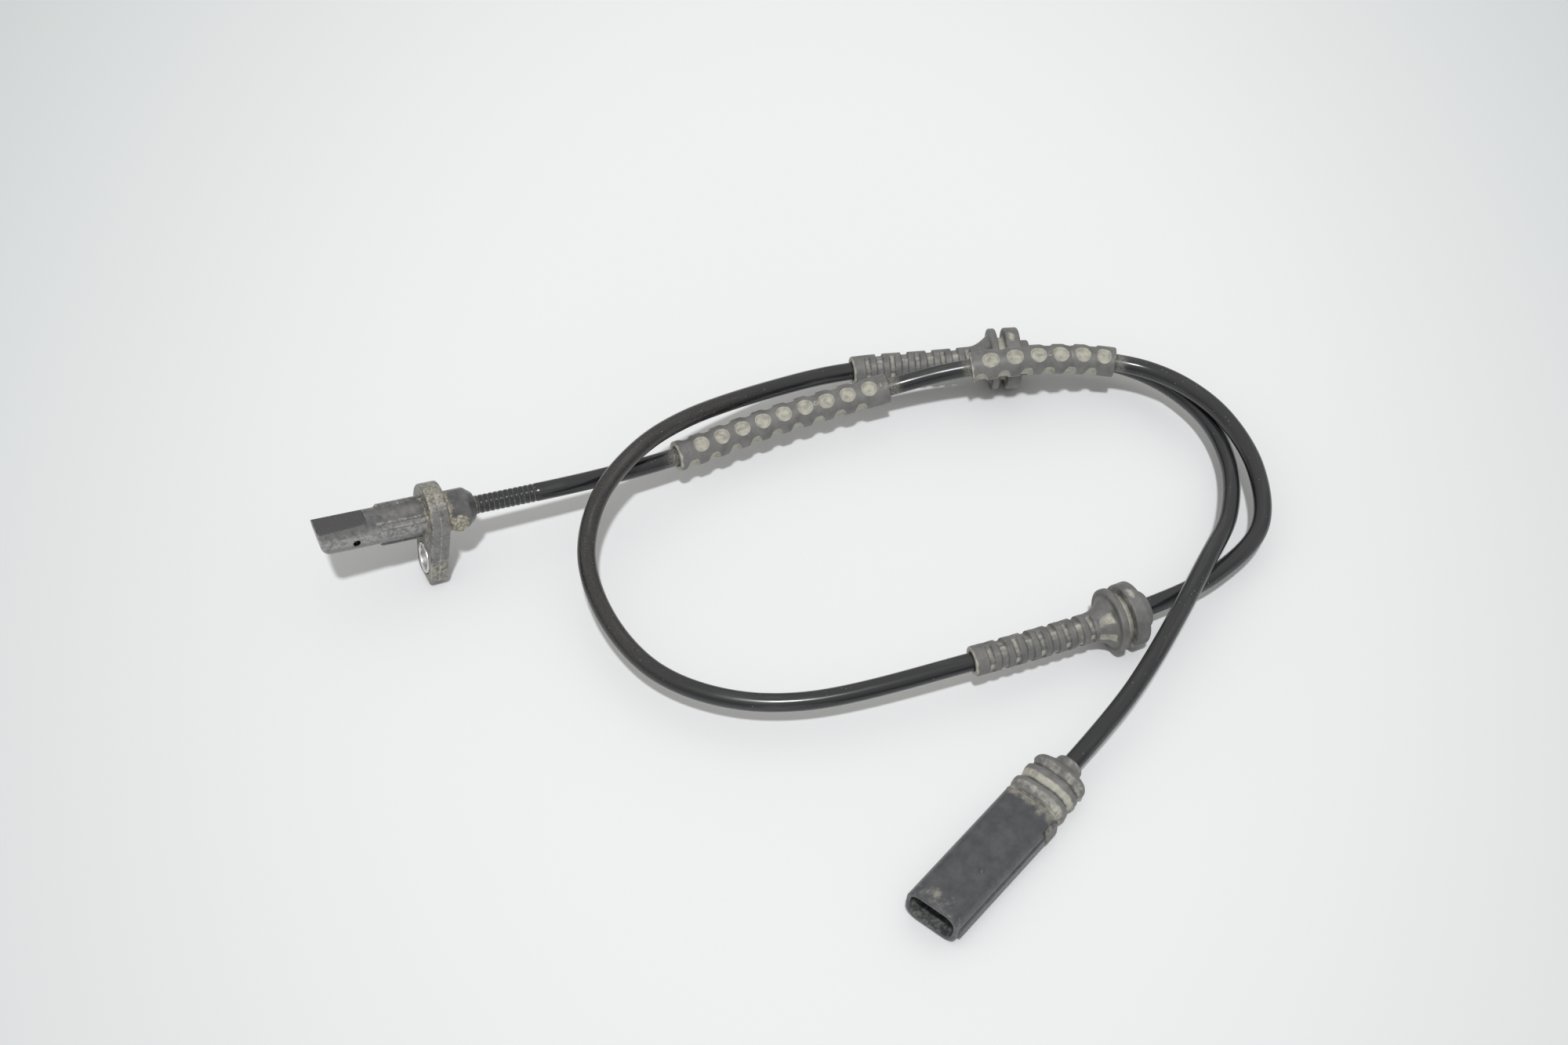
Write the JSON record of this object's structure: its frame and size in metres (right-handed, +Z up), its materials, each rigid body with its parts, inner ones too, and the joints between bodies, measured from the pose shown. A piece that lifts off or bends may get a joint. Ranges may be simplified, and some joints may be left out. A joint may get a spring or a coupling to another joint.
{
  "type": "wheel speed sensor",
  "caption": "Wheel speed sensor: ribbed plastic probe with a steel-bushed fixing ear, and a long looped lead with dimpled sleeves, ribbed grommets and an oval connector.",
  "frame": {"origin": "on the floor under the middle of the sensor head's box; the head stands on the flat end of its ear", "axes": "+X from the probe's tip towards the cable, in plan; +Z up; the flange's ear points down and a little towards -Y"},
  "size_m": [0.2511, 0.183, 0.0292],
  "materials": {
    "head_plastic": "moulded, semi-matte, dusty",
    "bush_steel": "bright",
    "carrier_plastic": "moulded",
    "chip_resin": "moulded",
    "magnet_coating": "plated",
    "capacitor_ceramic": "fired",
    "contact_metal": "tinned strip",
    "cable_rubber": "glossy, dusty",
    "sleeve_rubber": "matte, dirty in the recesses",
    "shell_plastic": "moulded, dusty",
    "pin_metal": "tinned",
    "core_black": "smooth",
    "core_grey": "smooth"
  },
  "bodies": {
    "root": {"sensor_housing": "head_plastic", "bolt_bush": "bush_steel", "insert_carrier": "carrier_plastic", "sensing_chip": "chip_resin", "bias_magnet": "magnet_coating", "filter_capacitor": "capacitor_ceramic", "lead_strip_a": "contact_metal", "lead_strip_b": "contact_metal", "core_crimp_a": "contact_metal", "core_crimp_b": "contact_metal", "head_core_a": "core_black", "head_core_b": "core_grey", "cable_jacket": "cable_rubber", "dimpled_sleeve_long": "sleeve_rubber", "dimpled_sleeve_short": "sleeve_rubber", "ribbed_grommet_outer": "sleeve_rubber", "ribbed_grommet_inner": "sleeve_rubber", "connector_boot": "sleeve_rubber", "connector_shell": "shell_plastic", "pin_holder": "carrier_plastic", "contact_pin_a": "pin_metal", "contact_pin_b": "pin_metal", "plug_core_a": "core_black", "plug_core_b": "core_grey"}
  },
  "joints": []
}
